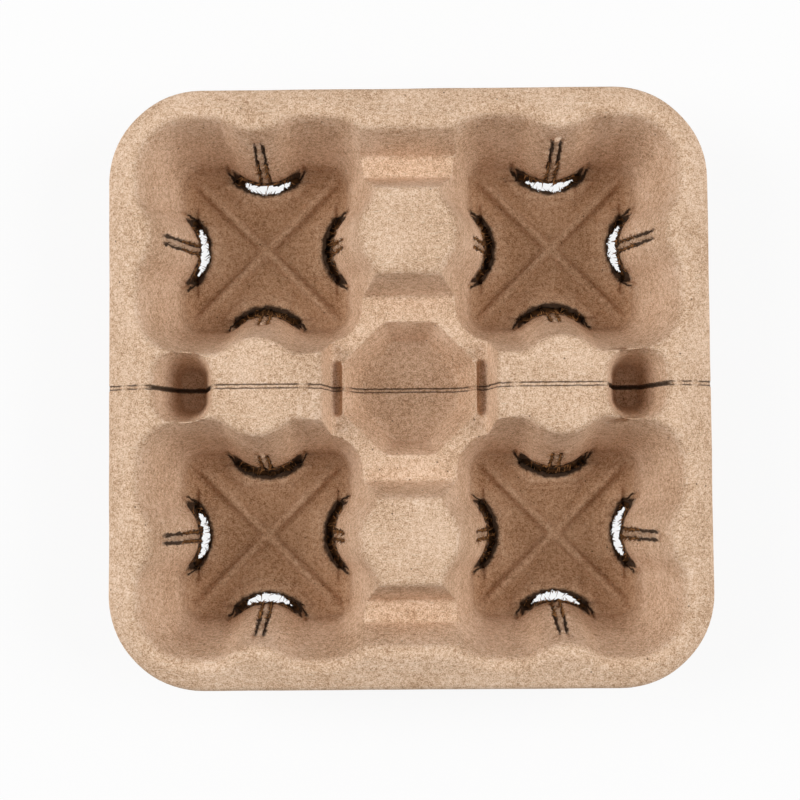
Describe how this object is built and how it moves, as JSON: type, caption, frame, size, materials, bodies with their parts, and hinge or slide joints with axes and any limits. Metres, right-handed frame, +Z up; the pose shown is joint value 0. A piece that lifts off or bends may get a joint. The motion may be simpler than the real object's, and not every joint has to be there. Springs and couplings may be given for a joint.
{
  "type": "moulded pulp cup carrier",
  "caption": "One-piece moulded pulp cup carrier tray with deep lobed pockets, die-cut pads, crossed floor ribs, a centre well and a perforated tear line across its middle.",
  "frame": {"origin": "centre of the underside, level with the flat undersides of the cup pockets", "axes": "+Z up, out of the pockets' mouths; +X along the perforated tear line; +Y across it"},
  "size_m": [0.216, 0.216, 0.048],
  "materials": {
    "pulp": "matte, fibrous, speckled kraft brown"
  },
  "bodies": {
    "root": {"carrier_tray": "pulp"}
  },
  "joints": []
}
